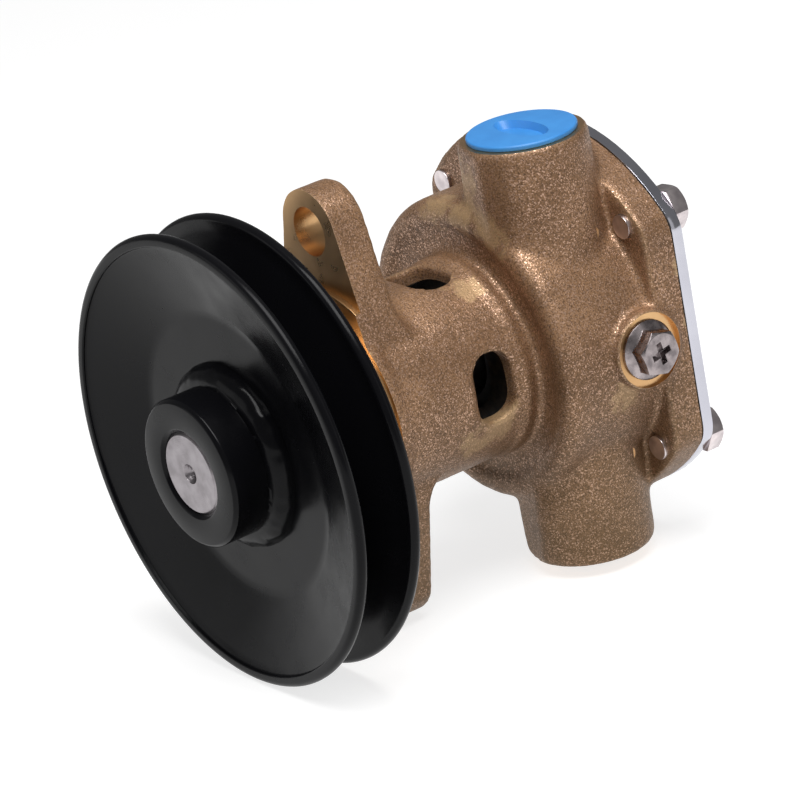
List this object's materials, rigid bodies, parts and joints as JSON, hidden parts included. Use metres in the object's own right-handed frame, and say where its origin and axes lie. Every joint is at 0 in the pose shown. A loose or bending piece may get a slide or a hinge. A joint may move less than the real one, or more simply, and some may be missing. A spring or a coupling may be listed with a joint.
{
  "type": "flexible impeller pump",
  "caption": "Belt-driven flexible impeller pump: a cast bronze body on two ears, a pressed V-belt pulley, threaded ports above and below and a flat steel cover.",
  "frame": {"origin": "on the shaft axis, in the plane of the ears' machined face", "axes": "-Y along the shaft towards the pulley, +Y towards the cover, +Z towards the capped port, +X towards the cam screw"},
  "size_m": [0.11, 0.1257, 0.11],
  "materials": {
    "cast_bronze": "sand cast, blasted",
    "cover_steel": "polished",
    "gasket_paper": "matt",
    "bolt_steel": "bright",
    "turned_bronze": "machined",
    "inner_steel": "ground",
    "cage_brass": "machined",
    "spring_steel": "oiled",
    "black_rubber": "matt",
    "impeller_rubber": "moulded",
    "shaft_steel": "turned",
    "pulley_paint": "gloss black",
    "cap_plastic": "moulded"
  },
  "bodies": {
    "housing": {"pump_body": "cast_bronze", "cover_plate": "cover_steel", "cover_gasket": "gasket_paper", "cover_bolts": "bolt_steel", "cam_plate": "turned_bronze", "cam_screw": "bolt_steel", "wear_plate": "inner_steel", "water_seal": "black_rubber", "front_bearing_outer": "inner_steel", "front_bearing_shield": "black_rubber", "rear_bearing_outer": "inner_steel", "rear_bearing_shield": "black_rubber", "nose_circlip": "spring_steel"},
    "rotor": {"shaft": "shaft_steel", "slinger": "black_rubber", "front_bearing_inner": "inner_steel", "rear_bearing_inner": "inner_steel", "bearing_spacer": "inner_steel", "shaft_circlip": "spring_steel", "pulley_key": "inner_steel", "drive_pin": "inner_steel", "pulley_front_disc": "pulley_paint", "pulley_rear_disc": "pulley_paint", "pulley_hub": "pulley_paint", "pulley_welds": "pulley_paint", "impeller_bush": "turned_bronze", "impeller": "impeller_rubber"},
    "ball_cages": {"front_bearing_balls": "cage_brass", "rear_bearing_balls": "cage_brass"},
    "cap": {"port_cap": "cap_plastic"}
  },
  "joints": [
    {"name": "rotor_spin", "type": "hinge", "parent": "housing", "child": "rotor", "pos_m": [0, 0, 0], "axis": [0, 1, 0], "continuous": true, "deforming": ["impeller"]},
    {"name": "balls_roll", "type": "hinge", "parent": "housing", "child": "ball_cages", "pos_m": [0, 0, 0], "axis": [0, 1, 0], "continuous": true},
    {"name": "cap_pull", "type": "slide", "parent": "housing", "child": "cap", "axis": [0, 0, 1], "range_m": [0, 0.015]}
  ],
  "couplings": [
    {"joint": "balls_roll", "follows": "rotor_spin", "ratio": 0.3976}
  ]
}
